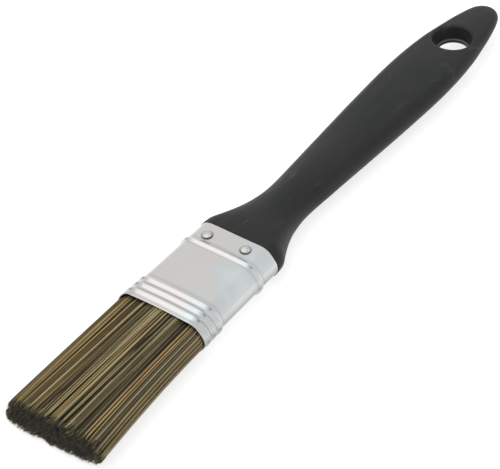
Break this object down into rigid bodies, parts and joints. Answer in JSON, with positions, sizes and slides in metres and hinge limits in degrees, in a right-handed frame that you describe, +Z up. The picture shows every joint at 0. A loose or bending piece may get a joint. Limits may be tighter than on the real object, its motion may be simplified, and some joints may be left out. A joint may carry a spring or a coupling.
{
  "type": "flat paint brush",
  "caption": "Flat paint brush with a beaded tinplate ferrule, straight-cut bristles and a waisted moulded handle with a hang hole.",
  "frame": {"origin": "on the bench under the middle of the brush, at the centre of its width and length", "axes": "+X across the width, +Y from the bristle tips to the handle's round end, +Z up through the front face, with the brush lying on its back"},
  "size_m": [0.0262, 0.185, 0.0114],
  "materials": {
    "black_moulding": "black moulded plastic with a low sheen and faint flow marks",
    "tinplate": "bright tinplate, slightly mottled",
    "nail_steel": "plain steel nail with a domed head",
    "bristle": "mixed hair, golden tan to near black, dark at the tips",
    "plug": "plain strip, hidden",
    "resin": "cast setting resin, hidden"
  },
  "bodies": {
    "root": {"handle": "black_moulding", "ferrule": "tinplate", "nail_front_left": "nail_steel", "nail_front_right": "nail_steel", "nail_back_left": "nail_steel", "nail_back_right": "nail_steel", "front_bristles": "bristle", "back_bristles": "bristle", "spacer_plug": "plug", "resin_setting": "resin"}
  },
  "joints": []
}
